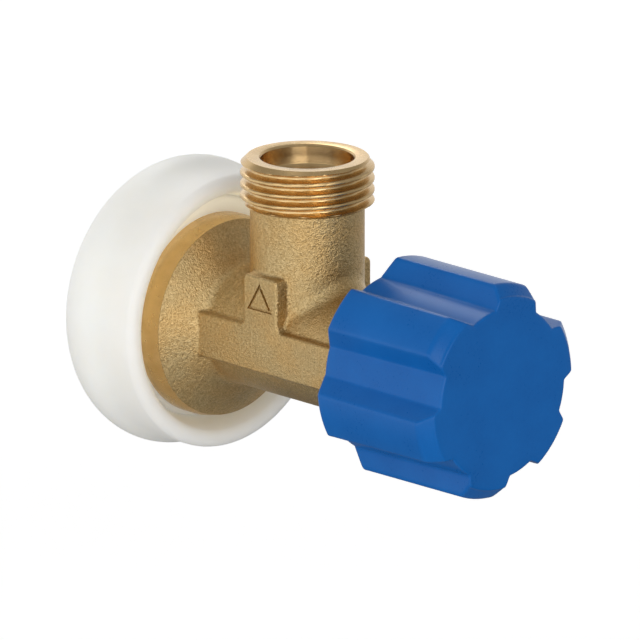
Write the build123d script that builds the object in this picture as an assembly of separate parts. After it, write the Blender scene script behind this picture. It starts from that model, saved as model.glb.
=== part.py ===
from build123d import *

import os
from math import acos, atan2, cos, hypot, radians, sin, tan

# Angle stop valve: a cast brass body with a threaded outlet on top, a wall collar behind its
# flange, and a screw-down headwork that a six-lobed handwheel turns.
# Frame: the wall is the plane y = 0 and the inlet axis is the y axis. The valve reaches from the
# wall to the front along -y, and its outlet points along +z. A "distance" is measured from the
# wall towards the front. All sizes are in millimetres.

# Inlet spigot and flange of the body
INLET_THREAD_R = 9.3155
INLET_THREAD_LENGTH = 12.0
INLET_CHAMFER = 0.8
DRILL_HALF_ANGLE = 59.0
PASSAGE_R = 6.0
SPIGOT_R = 13.0
SPIGOT_CHAMFER = 0.6
FLANGE_BACK = 11.2
FLANGE_R = 16.2
FLANGE_RIM_LENGTH = 2.3
FLANGE_FACE_R = 15.8
FLANGE_TAPER_LENGTH = 1.75
CONE_LENGTH = 4.0
CONE_FILLET = 2.0

# Barrel and outlet neck of the body
BARREL_R = 9.7
BARREL_WALL = 1.7
BARREL_BARE = 4.3
BODY_NOSE = 17.0
NECK_STEP = 0.75
NECK_FILLET = 2.6
OUTLET_TOP = 29.5
OUTLET_THREAD_R = 10.4775
OUTLET_THREAD_LENGTH = 7.6
OUTLET_THREAD_PITCH = 1.814
OUTLET_THREAD_DEPTH = 1.162
OUTLET_THREAD_CREST = 0.3
OUTLET_RIDGES = 4
OUTLET_CHAMFER = 1.0
OUTLET_BORE_R = 6.0
OUTLET_COUNTERBORE_R = 7.3
OUTLET_COUNTERBORE_DEPTH = 3.0
OUTLET_LIP = 0.35

# Raised marking pads, one on each side of the body: a bar along the barrel and a stem up the neck
PAD_HEIGHT = 0.7
PAD_BAR_HALF = 3.6
PAD_STEM_HALF = 3.7
PAD_STEM_TOP = 11.9
PAD_DRAFT = 4.0
PAD_CORNER = 0.8
PAD_INNER_CORNER = 1.2
PAD_EDGE = 0.5
PAD_ROOT = 0.6

# Seat and chamber in the body
SEAT_BEHIND_OUTLET = 7.2
SEAT_BORE_R = 4.8
SEAT_LAND = 1.2
SEAT_HEIGHT = 1.0
SEAT_BORE_LENGTH = 2.8
CHAMBER_STEP = 0.6

# Headwork: bonnet, its gasket and the spindle that turns in it without rising
GASKET_THICKNESS = 0.8
GASKET_MARGIN = 0.2
BONNET_THREAD_CHAMFER = 0.5
BONNET_SHANK_LENGTH = 11.5
BONNET_HEX_LENGTH = 5.0
BONNET_HEX_CHAMFER_ANGLE = 30.0
BONNET_NECK_R = 7.2
BONNET_EDGE = 0.5
STEM_R = 4.0
STEM_BORE_LENGTH = 7.4
SPINDLE_THREAD_R = 3.0
SPINDLE_COLLAR_R = 4.9
SPINDLE_COLLAR_LENGTH = 1.5
SPINDLE_EDGE = 0.4
THRUST_WASHER_THICKNESS = 0.8
SPINDLE_O_RING_CORD_R = 0.5
SPINDLE_O_RING_SPACING = 3.0
CIRCLIP_THICKNESS = 0.8
CIRCLIP_WIDTH = 1.7
CIRCLIP_GROOVE_DEPTH = 0.6
CIRCLIP_GAP_ANGLE = 44.0
CIRCLIP_EAR_R = 0.9
CIRCLIP_EAR_HOLE_R = 0.4
SQUARE_DRIVE = 5.6
SQUARE_SHOULDER = 0.8
SQUARE_LENGTH = 6.9

# Valve carrier, which slides in the bonnet as the spindle's thread turns in it
THREAD_LEAD = 1.5
TURNS_TO_OPEN = 2.5
CARRIER_CUP_ROOM = 0.4
CARRIER_CUP_WALL = 0.7
CARRIER_CUP_RIM = 1.2
CARRIER_CUP_FLOOR = 2.0
CARRIER_WAIST_R = 4.6
CARRIER_GUIDE_R = 5.85
CARRIER_GUIDE_TAIL = 1.3
CARRIER_HEX = 9.9
CARRIER_HEX_ENGAGED = 3.075
CARRIER_O_RING_CORD_R = 0.72
CARRIER_WEB = 2.0
GROOVE_SIDE_ROOM = 0.28
GUIDE_MARGIN = 0.325
GUIDE_LAND = 0.8

# Seat washer, the plain washer under the screw's head, and the screw
SEAT_WASHER_THICKNESS = 2.5
PLAIN_WASHER_R = 3.6
PLAIN_WASHER_THICKNESS = 0.6
SCREW_R = 1.45
SCREW_DEPTH = 4.2
SCREW_HEAD_R = 2.6
SCREW_HEAD_HEIGHT = 1.5
SCREW_HEAD_EDGE = 0.4
SCREW_SLOT_WIDTH = 0.7
SCREW_SLOT_DEPTH = 0.7

# Handwheel, whose grooves widen and deepen from its back to its front
WHEEL_LOBES = 6
WHEEL_CREST_R = 17.1
WHEEL_GROOVE_DEPTH = 2.8
WHEEL_CREST_HALF_ANGLE = 12.5
WHEEL_GROOVE_HALF_ANGLE = 9.0
WHEEL_FRONT_GROOVE_DEPTH = 3.3
WHEEL_FRONT_CREST_HALF_ANGLE = 12.0
WHEEL_FRONT_GROOVE_HALF_ANGLE = 10.5
WHEEL_PHASE = 17.5
WHEEL_FLANK_TURN = 2.5
WHEEL_CORNER = 0.6
WHEEL_DRAFT = 0.5
WHEEL_LENGTH = 24.45
WHEEL_BACK_TAPER = 1.15
WHEEL_WALL = 2.0
WHEEL_FACE = 2.4
WHEEL_BEVEL = 2.0
WHEEL_BEVEL_ROUND = 0.8
WHEEL_HUB_R = 6.2
WHEEL_HUB_FLOOR = 1.4
WHEEL_RIB = 1.6
WHEEL_RIB_SETBACK = 1.4

# Wall collar, a moulded ring that the flange sits on, cored out from the wall side
COLLAR_R = 23.2
COLLAR_BULGE_DISTANCE = 4.7
COLLAR_BULGE_RADIUS = 6.7
COLLAR_BULGE_ARC = 20.0
COLLAR_LIP_R = 22.0
COLLAR_LIP_RADIUS = 1.3
COLLAR_LIP_FRONT = 15.7
COLLAR_FLOOR_MARGIN = 0.3
COLLAR_SLEEVE_WALL = 2.4
COLLAR_FOOT = 2.5
COLLAR_FLOOR_WALL = 2.4
COLLAR_RIBS = 8
COLLAR_RIB = 1.8
COLLAR_PLAY = 0.9

# Clearances: moving pieces, screwed pieces, pieces put together by hand, and ends that must not touch
RUNNING = 0.05
SCREWED = 0.05
SEATED = 0.1
END_GAP = 0.2
CLOSED_GAP = 0.02

# Distances and radii that follow from the sizes above
FLANGE_FRONT = FLANGE_BACK + FLANGE_RIM_LENGTH + FLANGE_TAPER_LENGTH
CONE_END = FLANGE_FRONT + CONE_LENGTH
NECK_R = BARREL_R - NECK_STEP
OUTLET_DISTANCE = CONE_END + BARREL_BARE + NECK_R
BODY_FRONT = OUTLET_DISTANCE + BODY_NOSE
PAD_X = BARREL_R + PAD_HEIGHT
BONNET_THREAD_R = BARREL_R - BARREL_WALL
BONNET_HEX = 2 * (BARREL_R - GASKET_MARGIN)
CHAMBER_R = BONNET_THREAD_R - CHAMBER_STEP
CARRIER_CUP_R = CHAMBER_R - CARRIER_CUP_ROOM
SEAT_FACE = OUTLET_DISTANCE - SEAT_BEHIND_OUTLET
SEAT_R = SEAT_BORE_R + SEAT_LAND
CHAMBER_BACK = SEAT_FACE - SEAT_HEIGHT
LIFT = THREAD_LEAD * TURNS_TO_OPEN
GROOVE_WIDTH = 2 * (CARRIER_O_RING_CORD_R + GROOVE_SIDE_ROOM)
GUIDE_BORE_LENGTH = GUIDE_MARGIN + GROOVE_WIDTH + GUIDE_LAND + LIFT + END_GAP
THRUST_LENGTH = SPINDLE_COLLAR_LENGTH + THRUST_WASHER_THICKNESS + RUNNING
HEX_BORE_LENGTH = THRUST_LENGTH + END_GAP + LIFT + CARRIER_HEX_ENGAGED
BONNET_SEAT = BODY_FRONT + GASKET_THICKNESS
BONNET_BACK = BONNET_SEAT - BONNET_SHANK_LENGTH
BONNET_HEX_FRONT = BONNET_SEAT + BONNET_HEX_LENGTH
HEX_BORE_BACK = BONNET_BACK + GUIDE_BORE_LENGTH
SHOULDER = HEX_BORE_BACK + HEX_BORE_LENGTH
BONNET_FRONT = SHOULDER + STEM_BORE_LENGTH
THRUST_WASHER_FRONT = SHOULDER - RUNNING
SPINDLE_COLLAR_FRONT = THRUST_WASHER_FRONT - THRUST_WASHER_THICKNESS
SPINDLE_COLLAR_BACK = SPINDLE_COLLAR_FRONT - SPINDLE_COLLAR_LENGTH
SEAT_WASHER_BACK = SEAT_FACE + CLOSED_GAP
CUP_FLOOR = SEAT_WASHER_BACK + SEAT_WASHER_THICKNESS
CUP_FRONT = CUP_FLOOR + CARRIER_CUP_FLOOR
CARRIER_BORE_END = CUP_FLOOR + SCREW_DEPTH + CARRIER_WEB
SPINDLE_TIP = CARRIER_BORE_END + LIFT + END_GAP
CARRIER_FRONT = SPINDLE_COLLAR_BACK - END_GAP - LIFT
GROOVE_BACK = BONNET_BACK + GUIDE_MARGIN
GROOVE_MIDDLE = GROOVE_BACK + GROOVE_WIDTH / 2
GROOVE_FRONT = GROOVE_BACK + GROOVE_WIDTH
CARRIER_HEX_BACK = GROOVE_FRONT + GUIDE_LAND
GUIDE_BORE_R = CARRIER_GUIDE_R + RUNNING
STEM_BORE_R = STEM_R + RUNNING
SPINDLE_O_RING_R = STEM_BORE_R - RUNNING - SPINDLE_O_RING_CORD_R
SPINDLE_GROOVE_R = SPINDLE_O_RING_R - SPINDLE_O_RING_CORD_R - RUNNING
SPINDLE_GROOVE_HALF = SPINDLE_O_RING_CORD_R + GROOVE_SIDE_ROOM / 2
O_RING_INNER = SHOULDER + (STEM_BORE_LENGTH - SPINDLE_O_RING_SPACING) / 2
O_RING_OUTER = O_RING_INNER + SPINDLE_O_RING_SPACING
CARRIER_O_RING_R = GUIDE_BORE_R - RUNNING - CARRIER_O_RING_CORD_R
CARRIER_GROOVE_R = CARRIER_O_RING_R - CARRIER_O_RING_CORD_R - RUNNING
CIRCLIP_BACK = BONNET_FRONT + SEATED
CIRCLIP_FRONT = CIRCLIP_BACK + CIRCLIP_THICKNESS
CIRCLIP_GROOVE_R = STEM_R - CIRCLIP_GROOVE_DEPTH
SQUARE_BACK = CIRCLIP_FRONT + SQUARE_SHOULDER
SQUARE_FRONT = SQUARE_BACK + SQUARE_LENGTH
HUB_BACK = SQUARE_BACK
SOCKET_END = SQUARE_FRONT + END_GAP
WHEEL_FACE_INSIDE = SOCKET_END + WHEEL_HUB_FLOOR
WHEEL_FRONT = WHEEL_FACE_INSIDE + WHEEL_FACE
WHEEL_BACK = WHEEL_FRONT - WHEEL_LENGTH
WHEEL_FRONT_CREST_R = WHEEL_CREST_R - WHEEL_LENGTH * tan(radians(WHEEL_DRAFT))

# Plane for turned outlines: its x is the radius and its y is the distance from the wall
TURNING = Plane(origin=(0, 0, 0), x_dir=(1, 0, 0), z_dir=(0, 0, -1))


def turned(*points):
    """A solid turned about the inlet axis from corner points (radius, distance)."""
    return revolve(TURNING * make_face(Polyline(*points, close=True)), Axis.Y)


def rod(radius, back, front):
    """A cylinder on the inlet axis between two distances."""
    return turned((0, back), (radius, back), (radius, front), (0, front))


def ring(inner, outer, back, front):
    """A plain ring on the inlet axis."""
    return turned((inner, back), (outer, back), (outer, front), (inner, front))


def o_ring(middle_r, cord_r, distance):
    """A torus on the inlet axis."""
    return revolve(TURNING * Pos(middle_r, distance) * Circle(cord_r), Axis.Y)


def station(distance):
    """A drawing plane across the inlet axis that faces the front, with its y upwards."""
    return Plane(origin=(0, -distance, 0), x_dir=(1, 0, 0), z_dir=(0, -1, 0))


def bar(outline, back, front):
    """An outline drawn across the inlet axis, carried from one distance to another."""
    return extrude(station(back) * outline, front - back)


def hexagon(across_flats):
    return RegularPolygon(across_flats / 2, 6, major_radius=False)


def on_outlet_axis(*points):
    """A solid turned about the outlet axis from corner points (radius, height)."""
    plane = Plane(origin=(0, -OUTLET_DISTANCE, 0), x_dir=(1, 0, 0), z_dir=(0, -1, 0))
    axis = Axis((0, -OUTLET_DISTANCE, 0), (0, 0, 1))
    return revolve(plane * make_face(Polyline(*points, close=True)), axis)


def casting_outside():
    """Spigot, flange, cone and barrel in one turned shape, with the neck blended into the barrel."""
    outline = Polyline(
        (0, 0),
        (SPIGOT_R - SPIGOT_CHAMFER, 0),
        (SPIGOT_R, SPIGOT_CHAMFER),
        (SPIGOT_R, FLANGE_BACK),
        (FLANGE_R, FLANGE_BACK),
        (FLANGE_R, FLANGE_BACK + FLANGE_RIM_LENGTH),
        (FLANGE_FACE_R, FLANGE_FRONT),
        (BARREL_R, CONE_END),
        (BARREL_R, BODY_FRONT),
        (0, BODY_FRONT),
        close=True,
    )
    profile = make_face(outline)
    inner_corner = profile.vertices().sort_by_distance((BARREL_R, CONE_END))[0]
    barrel = revolve(TURNING * fillet(inner_corner, CONE_FILLET), Axis.Y)
    neck_top = OUTLET_TOP - OUTLET_THREAD_LENGTH
    neck = on_outlet_axis((0, 0), (NECK_R, 0), (NECK_R, neck_top), (0, neck_top))
    body = barrel + neck
    plain = (GeomType.CIRCLE, GeomType.LINE)
    seam = [edge for edge in body.edges() if edge.geom_type not in plain and edge.center().Z > 0]
    return fillet(seam, NECK_FILLET)


def marking_pad():
    """The raised pad on the +x side, like an inverted T, drafted and with rounded edges."""
    face = Plane(origin=(PAD_X, -OUTLET_DISTANCE, 0), x_dir=(0, 1, 0), z_dir=(1, 0, 0))
    bar_front = -BODY_NOSE - PAD_X
    bar_back = OUTLET_DISTANCE - FLANGE_FRONT - PAD_EDGE
    corners = [
        (bar_front, -PAD_BAR_HALF),
        (bar_back, -PAD_BAR_HALF),
        (bar_back, PAD_BAR_HALF),
        (PAD_STEM_HALF, PAD_BAR_HALF),
        (PAD_STEM_HALF, PAD_STEM_TOP),
        (-PAD_STEM_HALF, PAD_STEM_TOP),
        (-PAD_STEM_HALF, PAD_BAR_HALF),
        (bar_front, PAD_BAR_HALF),
    ]
    outline = make_face(Polyline(*corners, close=True))
    tops = outline.vertices().filter_by_position(Axis.Y, PAD_STEM_TOP - 0.1, PAD_STEM_TOP + 0.1)
    outline = fillet(tops, PAD_CORNER)
    inner = [v for v in outline.vertices() if abs(abs(v.X) - PAD_STEM_HALF) < 0.01 and v.Y < PAD_BAR_HALF + 0.1]
    outline = fillet(inner, PAD_INNER_CORNER)
    pad = extrude(face * outline, -PAD_X, taper=-PAD_DRAFT)
    pad = fillet(pad.faces().sort_by(Axis.X)[-1].edges(), PAD_EDGE)
    return pad & rod(2 * FLANGE_R, 0, BODY_FRONT)


def body_passages():
    """The water way: inlet socket, passage, seat bore, chamber, bonnet socket and outlet bore."""
    drill_tip = INLET_THREAD_LENGTH + (INLET_THREAD_R - PASSAGE_R) / tan(radians(DRILL_HALF_ANGLE))
    inlet = turned(
        (0, 0),
        (INLET_THREAD_R + INLET_CHAMFER, 0),
        (INLET_THREAD_R, INLET_CHAMFER),
        (INLET_THREAD_R, INLET_THREAD_LENGTH),
        (PASSAGE_R, drill_tip),
        (PASSAGE_R, SEAT_FACE - SEAT_BORE_LENGTH),
        (SEAT_BORE_R, SEAT_FACE - SEAT_BORE_LENGTH),
        (SEAT_BORE_R, SEAT_FACE + SEAT_HEIGHT),
        (0, SEAT_FACE + SEAT_HEIGHT),
    )
    chamber = turned(
        (0, SEAT_FACE),
        (SEAT_R, SEAT_FACE),
        (SEAT_R, CHAMBER_BACK),
        (CHAMBER_R, CHAMBER_BACK),
        (CHAMBER_R, BONNET_BACK - END_GAP),
        (BONNET_THREAD_R, BONNET_BACK - END_GAP),
        (BONNET_THREAD_R, BODY_FRONT - BONNET_THREAD_CHAMFER),
        (BONNET_THREAD_R + BONNET_THREAD_CHAMFER, BODY_FRONT),
        (0, BODY_FRONT),
    )
    step = OUTLET_TOP - OUTLET_COUNTERBORE_DEPTH
    outlet = on_outlet_axis(
        (0, 0),
        (OUTLET_BORE_R, 0),
        (OUTLET_BORE_R, step - (OUTLET_COUNTERBORE_R - OUTLET_BORE_R)),
        (OUTLET_COUNTERBORE_R, step),
        (OUTLET_COUNTERBORE_R, OUTLET_TOP - OUTLET_LIP),
        (OUTLET_COUNTERBORE_R + OUTLET_LIP, OUTLET_TOP),
        (0, OUTLET_TOP),
    )
    return inlet + chamber + outlet


def make_valve_body():
    pads = marking_pad() + mirror(marking_pad(), Plane.YZ)
    casting = casting_outside()
    body = casting + pads
    body = fillet(new_edges(casting, pads, combined=body), PAD_ROOT)
    return body + outlet_thread() - body_passages()


def outlet_thread():
    """The outlet's outside thread as level ridges at the thread's pitch, with a chamfered mouth."""
    bottom = OUTLET_TOP - OUTLET_THREAD_LENGTH
    root_r = OUTLET_THREAD_R - OUTLET_THREAD_DEPTH
    half_crest = OUTLET_THREAD_CREST / 2
    half_base = (OUTLET_THREAD_PITCH - OUTLET_THREAD_CREST) / 2
    top_ridge = OUTLET_TOP - OUTLET_CHAMFER - half_crest
    profile = [(0, bottom), (root_r, bottom)]
    for ridge in reversed(range(OUTLET_RIDGES)):
        middle = top_ridge - ridge * OUTLET_THREAD_PITCH
        profile.append((root_r, middle - half_base))
        profile.append((OUTLET_THREAD_R, middle - half_crest))
        profile.append((OUTLET_THREAD_R, middle + half_crest))
        if ridge:
            profile.append((root_r, middle + half_base))
    profile.append((OUTLET_THREAD_R - OUTLET_CHAMFER, OUTLET_TOP))
    profile.append((0, OUTLET_TOP))
    return on_outlet_axis(*profile)


def make_wall_collar():
    """A ring with a round bulge at the wall and a rolled lip in front, with a dish inside the lip."""
    bulge_r = COLLAR_R - COLLAR_BULGE_RADIUS
    foot_r = bulge_r + (COLLAR_BULGE_RADIUS**2 - COLLAR_BULGE_DISTANCE**2) ** 0.5
    arc_end = radians(COLLAR_BULGE_ARC)
    bulge_end = (
        bulge_r + COLLAR_BULGE_RADIUS * cos(arc_end),
        COLLAR_BULGE_DISTANCE + COLLAR_BULGE_RADIUS * sin(arc_end),
    )
    lip_r = COLLAR_LIP_R - COLLAR_LIP_RADIUS
    lip_distance = COLLAR_LIP_FRONT - COLLAR_LIP_RADIUS
    floor_r = FLANGE_R + COLLAR_PLAY + COLLAR_FLOOR_MARGIN
    bore_r = SPIGOT_R + COLLAR_PLAY + SEATED
    run = (floor_r - lip_r, FLANGE_BACK - lip_distance)
    touch = atan2(run[1], run[0]) - acos(COLLAR_LIP_RADIUS / hypot(*run))
    dish_top = (lip_r + COLLAR_LIP_RADIUS * cos(touch), lip_distance + COLLAR_LIP_RADIUS * sin(touch))
    outline = [
        Line((bore_r, 0), (foot_r, 0)),
        ThreePointArc((foot_r, 0), (COLLAR_R, COLLAR_BULGE_DISTANCE), bulge_end),
        Spline(
            bulge_end,
            (COLLAR_LIP_R, lip_distance),
            tangents=((-sin(arc_end), cos(arc_end)), (0, 1)),
        ),
        ThreePointArc((COLLAR_LIP_R, lip_distance), (lip_r, COLLAR_LIP_FRONT), dish_top),
        Line(dish_top, (floor_r, FLANGE_BACK)),
        Line((floor_r, FLANGE_BACK), (bore_r, FLANGE_BACK)),
        Line((bore_r, FLANGE_BACK), (bore_r, 0)),
    ]
    collar = revolve(TURNING * make_face(outline), Axis.Y)
    core = ring(bore_r + COLLAR_SLEEVE_WALL, foot_r - COLLAR_FOOT, 0, FLANGE_BACK - COLLAR_FLOOR_WALL)
    rib = Pos(bulge_r, 0) * Rectangle(2 * COLLAR_BULGE_RADIUS, COLLAR_RIB)
    ribs = bar(Sketch() + [Rot(0, 0, i * 360 / COLLAR_RIBS) * rib for i in range(COLLAR_RIBS)], 0, FLANGE_BACK)
    return Pos(0, 0, COLLAR_PLAY) * (collar - (core - ribs))


def make_bonnet():
    shank_r = BONNET_THREAD_R - SCREWED
    shank = turned(
        (0, BONNET_BACK),
        (shank_r - BONNET_THREAD_CHAMFER, BONNET_BACK),
        (shank_r, BONNET_BACK + BONNET_THREAD_CHAMFER),
        (shank_r, BONNET_SEAT),
        (0, BONNET_SEAT),
    )
    corner_r = BONNET_HEX / 2 / cos(radians(30))
    flat_r = BONNET_HEX / 2
    drop = (corner_r - flat_r) * tan(radians(BONNET_HEX_CHAMFER_ANGLE))
    rounding = turned(
        (0, BONNET_SEAT),
        (flat_r, BONNET_SEAT),
        (corner_r, BONNET_SEAT + drop),
        (corner_r, BONNET_HEX_FRONT - drop),
        (flat_r, BONNET_HEX_FRONT),
        (0, BONNET_HEX_FRONT),
    )
    hexagon_nut = bar(hexagon(BONNET_HEX), BONNET_SEAT, BONNET_HEX_FRONT) & rounding
    neck = turned(
        (0, BONNET_HEX_FRONT),
        (BONNET_NECK_R, BONNET_HEX_FRONT),
        (BONNET_NECK_R, BONNET_FRONT - BONNET_EDGE),
        (BONNET_NECK_R - BONNET_EDGE, BONNET_FRONT),
        (0, BONNET_FRONT),
    )
    bonnet = shank + hexagon_nut + neck
    bonnet -= rod(GUIDE_BORE_R, BONNET_BACK, HEX_BORE_BACK)
    bonnet -= bar(hexagon(CARRIER_HEX + 2 * RUNNING), HEX_BORE_BACK, SHOULDER)
    bonnet -= rod(STEM_BORE_R, SHOULDER, BONNET_FRONT)
    return bonnet


def make_bonnet_gasket():
    return ring(BONNET_THREAD_R + GASKET_MARGIN, BARREL_R - GASKET_MARGIN, BODY_FRONT, BONNET_SEAT)


def make_spindle():
    shaft = turned(
        (0, SPINDLE_TIP),
        (SPINDLE_THREAD_R - SPINDLE_EDGE, SPINDLE_TIP),
        (SPINDLE_THREAD_R, SPINDLE_TIP + SPINDLE_EDGE),
        (SPINDLE_THREAD_R, SPINDLE_COLLAR_BACK),
        (SPINDLE_COLLAR_R, SPINDLE_COLLAR_BACK),
        (SPINDLE_COLLAR_R, SPINDLE_COLLAR_FRONT),
        (STEM_R, SPINDLE_COLLAR_FRONT),
        (STEM_R, SQUARE_BACK),
        (0, SQUARE_BACK),
    )
    for middle in (O_RING_INNER, O_RING_OUTER):
        shaft -= ring(SPINDLE_GROOVE_R, 2 * STEM_R, middle - SPINDLE_GROOVE_HALF, middle + SPINDLE_GROOVE_HALF)
    shaft -= ring(CIRCLIP_GROOVE_R, 2 * STEM_R, CIRCLIP_BACK - SEATED / 2, CIRCLIP_FRONT + SEATED / 2)
    square_r = SQUARE_DRIVE / 2 * 2**0.5
    lead = turned(
        (0, SQUARE_BACK),
        (square_r, SQUARE_BACK),
        (square_r, SQUARE_FRONT - 2 * SPINDLE_EDGE),
        (square_r - 2 * SPINDLE_EDGE, SQUARE_FRONT),
        (0, SQUARE_FRONT),
    )
    return shaft + (bar(Rectangle(SQUARE_DRIVE, SQUARE_DRIVE), SQUARE_BACK, SQUARE_FRONT) & lead)


def make_thrust_washer():
    return ring(STEM_R + SEATED, SPINDLE_COLLAR_R, SPINDLE_COLLAR_FRONT, THRUST_WASHER_FRONT)


def make_circlip():
    """A spring ring with a gap and two eared ends."""
    inner = CIRCLIP_GROOVE_R + SEATED / 2
    outer = inner + CIRCLIP_WIDTH
    half = radians(CIRCLIP_GAP_ANGLE / 2)
    reach = 2 * outer
    gap = make_face(
        Polyline((0, 0), (reach * cos(half), -reach * sin(half)), (reach * cos(half), reach * sin(half)), close=True)
    )
    flat = Circle(outer) - Circle(inner) - gap
    ear_angle = half + CIRCLIP_EAR_R / outer
    for side in (-1, 1):
        ear = Pos(outer * cos(ear_angle), side * outer * sin(ear_angle))
        flat += ear * Circle(CIRCLIP_EAR_R)
        flat -= ear * Circle(CIRCLIP_EAR_HOLE_R)
    return bar(flat, CIRCLIP_BACK, CIRCLIP_FRONT)


def make_valve_carrier():
    cup_r = CARRIER_CUP_R - CARRIER_CUP_WALL
    guide_back = GROOVE_BACK - CARRIER_GUIDE_TAIL
    carrier = turned(
        (0, CUP_FLOOR),
        (cup_r, CUP_FLOOR),
        (cup_r, CUP_FLOOR - CARRIER_CUP_RIM),
        (CARRIER_CUP_R, CUP_FLOOR - CARRIER_CUP_RIM),
        (CARRIER_CUP_R, CUP_FRONT),
        (CARRIER_WAIST_R, CUP_FRONT),
        (CARRIER_WAIST_R, guide_back),
        (CARRIER_GUIDE_R, guide_back),
        (CARRIER_GUIDE_R, GROOVE_BACK),
        (CARRIER_GROOVE_R, GROOVE_BACK),
        (CARRIER_GROOVE_R, GROOVE_FRONT),
        (CARRIER_GUIDE_R, GROOVE_FRONT),
        (CARRIER_GUIDE_R, CARRIER_HEX_BACK),
        (0, CARRIER_HEX_BACK),
    )
    carrier += bar(hexagon(CARRIER_HEX), CARRIER_HEX_BACK, CARRIER_FRONT)
    carrier -= rod(SPINDLE_THREAD_R + RUNNING, CARRIER_BORE_END, CARRIER_FRONT)
    carrier -= rod(SCREW_R + SCREWED, CUP_FLOOR, CUP_FLOOR + SCREW_DEPTH + END_GAP)
    return carrier


def make_seat_washer():
    outer = CARRIER_CUP_R - CARRIER_CUP_WALL - SEATED
    return ring(SCREW_R + SEATED, outer, SEAT_WASHER_BACK, CUP_FLOOR)


def make_plain_washer():
    return ring(SCREW_R + SEATED, PLAIN_WASHER_R, SEAT_WASHER_BACK - PLAIN_WASHER_THICKNESS, SEAT_WASHER_BACK)


def make_washer_screw():
    under_head = SEAT_WASHER_BACK - PLAIN_WASHER_THICKNESS
    head_end = under_head - SCREW_HEAD_HEIGHT
    screw = turned(
        (0, head_end),
        (SCREW_HEAD_R - SCREW_HEAD_EDGE, head_end),
        (SCREW_HEAD_R, head_end + SCREW_HEAD_EDGE),
        (SCREW_HEAD_R, under_head),
        (SCREW_R, under_head),
        (SCREW_R, CUP_FLOOR + SCREW_DEPTH),
        (0, CUP_FLOOR + SCREW_DEPTH),
    )
    slot = bar(Rectangle(3 * SCREW_HEAD_R, SCREW_SLOT_WIDTH), head_end, head_end + SCREW_SLOT_DEPTH)
    return screw - slot


def lobed_outline(crest_r, crest_half, groove_r, groove_half):
    """An outline of the handwheel: crest arcs, sloped flanks and groove arcs, corners rounded."""
    pitch = 360 / WHEEL_LOBES

    def at(radius, angle):
        return (radius * cos(radians(angle)), radius * sin(radians(angle)))

    edges = []
    for lobe in range(WHEEL_LOBES):
        crest = WHEEL_PHASE + lobe * pitch
        groove = crest + pitch / 2
        crest_start = at(crest_r, crest - crest_half)
        crest_end = at(crest_r, crest + crest_half)
        groove_start = at(groove_r, groove - groove_half)
        groove_end = at(groove_r, groove + groove_half)
        next_crest = at(crest_r, crest + pitch - crest_half)
        edges.append(ThreePointArc(crest_start, at(crest_r, crest), crest_end))
        edges.append(Line(crest_end, groove_start))
        edges.append(ThreePointArc(groove_start, at(groove_r, groove), groove_end))
        edges.append(Line(groove_end, next_crest))
    outline = make_face(edges)
    return fillet(outline.vertices(), WHEEL_CORNER)


def lobed_body(wall, turn, front):
    """The lobed shape a wall inside the handwheel's surface, its flanks turned in, from the back to a front."""
    back_outline = lobed_outline(
        WHEEL_CREST_R - wall,
        WHEEL_CREST_HALF_ANGLE - turn,
        WHEEL_CREST_R - WHEEL_GROOVE_DEPTH - wall,
        WHEEL_GROOVE_HALF_ANGLE + turn,
    )
    front_outline = lobed_outline(
        WHEEL_FRONT_CREST_R - wall,
        WHEEL_FRONT_CREST_HALF_ANGLE - turn,
        WHEEL_FRONT_CREST_R - WHEEL_FRONT_GROOVE_DEPTH - wall,
        WHEEL_FRONT_GROOVE_HALF_ANGLE + turn,
    )
    return loft([station(WHEEL_BACK) * back_outline, station(front) * front_outline], ruled=True)


def make_handwheel():
    """A cap with six lobes, bevelled in front, a shallow cone and hollow behind, with a hub and ribs inside."""
    wheel = lobed_body(0, 0, WHEEL_FRONT)
    front_r = WHEEL_FRONT_CREST_R
    reach = 2 * WHEEL_BEVEL
    bevel = make_face(
        Polyline(
            (0, WHEEL_BACK),
            (WHEEL_CREST_R - WHEEL_GROOVE_DEPTH, WHEEL_BACK),
            (WHEEL_CREST_R + WHEEL_GROOVE_DEPTH, WHEEL_BACK + 2 * WHEEL_BACK_TAPER),
            (front_r + reach, WHEEL_FRONT - WHEEL_BEVEL - 1.7 * reach),
            (front_r, WHEEL_FRONT - WHEEL_BEVEL),
            (front_r - WHEEL_BEVEL, WHEEL_FRONT),
            (0, WHEEL_FRONT),
            close=True,
        )
    )
    corners = bevel.vertices().sort_by_distance((front_r - WHEEL_BEVEL / 2, WHEEL_FRONT - WHEEL_BEVEL / 2))[0:2]
    wheel &= revolve(TURNING * fillet(corners, WHEEL_BEVEL_ROUND), Axis.Y)
    wheel -= lobed_body(WHEEL_WALL, WHEEL_FLANK_TURN, WHEEL_FACE_INSIDE)
    pitch = 360 / WHEEL_LOBES
    rib_reach = front_r - WHEEL_FRONT_GROOVE_DEPTH - WHEEL_WALL / 2
    rib = Pos(rib_reach / 2, 0) * Rectangle(rib_reach, WHEEL_RIB)
    ribs = Sketch() + [Rot(0, 0, WHEEL_PHASE + (i + 0.5) * pitch) * rib for i in range(WHEEL_LOBES)]
    wheel += bar(ribs, HUB_BACK + WHEEL_RIB_SETBACK, WHEEL_FACE_INSIDE)
    wheel += rod(WHEEL_HUB_R, HUB_BACK, WHEEL_FACE_INSIDE)
    socket = SQUARE_DRIVE + 2 * RUNNING
    wheel -= bar(Rectangle(socket, socket), HUB_BACK, SOCKET_END)
    return wheel


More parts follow.
